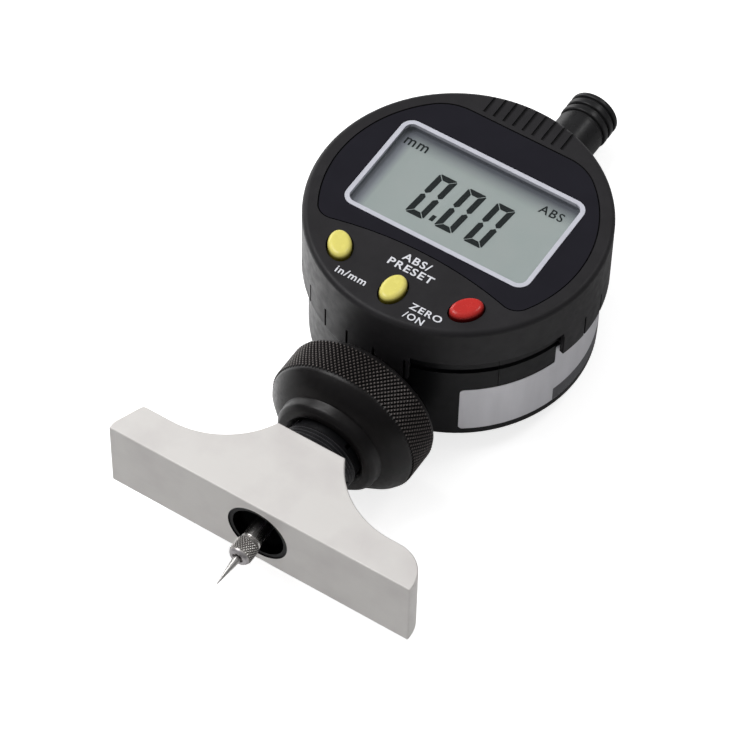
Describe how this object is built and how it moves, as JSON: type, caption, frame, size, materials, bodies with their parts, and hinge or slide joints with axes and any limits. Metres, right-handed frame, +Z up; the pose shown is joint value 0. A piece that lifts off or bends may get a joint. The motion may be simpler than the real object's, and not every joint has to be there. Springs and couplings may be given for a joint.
{
  "type": "digital depth gauge",
  "caption": "Digital depth gauge lying at rest: steel depth base, knurled clamp nut, round housing with turning display head, push buttons, sprung spindle.",
  "frame": {"origin": "middle of the underside of the bounding box, on the surface that the gauge lies on", "axes": "+X along the base, +Y from the contact towards the top cap, +Z up; the gauge lies on its back, tilted 6 degrees about X"},
  "size_m": [0.0636, 0.1304, 0.0386],
  "materials": {
    "base_steel": "satin ground",
    "black_anodised": "satin black anodised, diamond knurl on the nut",
    "housing_black": "satin black lacquer",
    "bezel_charcoal": "fine matte moulded",
    "black_plastic": "matte moulded",
    "panel_navy": "smooth, dark blue black",
    "frame_grey": "smooth light grey",
    "window_clear": "clear",
    "display_glass": "grey green display",
    "button_yellow": "smooth yellow",
    "button_red": "smooth red",
    "steel_bright": "ground and polished",
    "screw_steel": "black oxide",
    "spring_steel": "drawn wire and strip",
    "bush_brass": "reamed",
    "frame_metal": "cast grey",
    "carrier_metal": "milled",
    "board_green": "solder mask",
    "scale_glass": "etched strip",
    "cell_metal": "nickel plated",
    "rubber_dark": "moulded",
    "label_silver": "silver film, bare"
  },
  "bodies": {
    "housing": {"depth_base": "base_steel", "threaded_collar": "black_anodised", "stem": "steel_bright", "lower_bush": "bush_brass", "main_housing": "housing_black", "back_cover": "housing_black", "back_cover_screws": "screw_steel", "battery_cap": "black_plastic", "battery_cell": "cell_metal", "battery_holder": "black_plastic", "battery_contact": "bush_brass", "measuring_frame": "frame_metal", "frame_screws": "screw_steel", "guide_rail": "steel_bright", "upper_bush": "bush_brass", "sensor_board": "board_green", "top_cap": "black_plastic", "port_cover": "black_plastic", "data_connector": "black_plastic", "side_label": "label_silver", "friction_ring": "spring_steel", "return_spring": "spring_steel"},
    "nut": {"clamp_nut": "black_anodised"},
    "plunger": {"spindle": "steel_bright", "contact_holder": "steel_bright", "contact_needle": "steel_bright", "spindle_carrier": "carrier_metal", "scale_strip": "scale_glass"},
    "display_head": {"display_bezel": "bezel_charcoal", "lens_panel": "panel_navy", "window_frame": "frame_grey", "clear_window": "window_clear", "lcd_glass": "display_glass", "zebra_strips": "rubber_dark", "main_board": "board_green", "board_screws": "screw_steel", "keypad_mat": "rubber_dark"},
    "units_button": {"button_units": "button_yellow"},
    "preset_button": {"button_preset": "button_yellow"},
    "zero_button": {"button_zero": "button_red"}
  },
  "joints": [
    {"name": "spindle_slide", "type": "slide", "parent": "housing", "child": "plunger", "axis": [0, 0.9944, -0.1058], "range_m": [0, 0.0127], "stiffness_N_per_m": 60, "springref_m": -0.01, "deforming": ["return_spring"]},
    {"name": "display_turn", "type": "hinge", "parent": "housing", "child": "display_head", "pos_m": [0, 0.01572, 0.03474], "axis": [0, 0.1058, 0.9944], "range_deg": [-135, 135]},
    {"name": "clamp_nut_turn", "type": "hinge", "parent": "housing", "child": "nut", "pos_m": [0, -0.01743, 0.01513], "axis": [0, 0.9944, -0.1058], "range_deg": [0, 180]},
    {"name": "units_button_press", "type": "slide", "parent": "display_head", "child": "units_button", "axis": [0, -0.1058, -0.9944], "range_m": [0, 0.0006], "stiffness_N_per_m": 800, "springref_m": -0.0004},
    {"name": "preset_button_press", "type": "slide", "parent": "display_head", "child": "preset_button", "axis": [0, -0.1058, -0.9944], "range_m": [0, 0.0006], "stiffness_N_per_m": 800, "springref_m": -0.0004},
    {"name": "zero_button_press", "type": "slide", "parent": "display_head", "child": "zero_button", "axis": [0, -0.1058, -0.9944], "range_m": [0, 0.0006], "stiffness_N_per_m": 800, "springref_m": -0.0004}
  ]
}
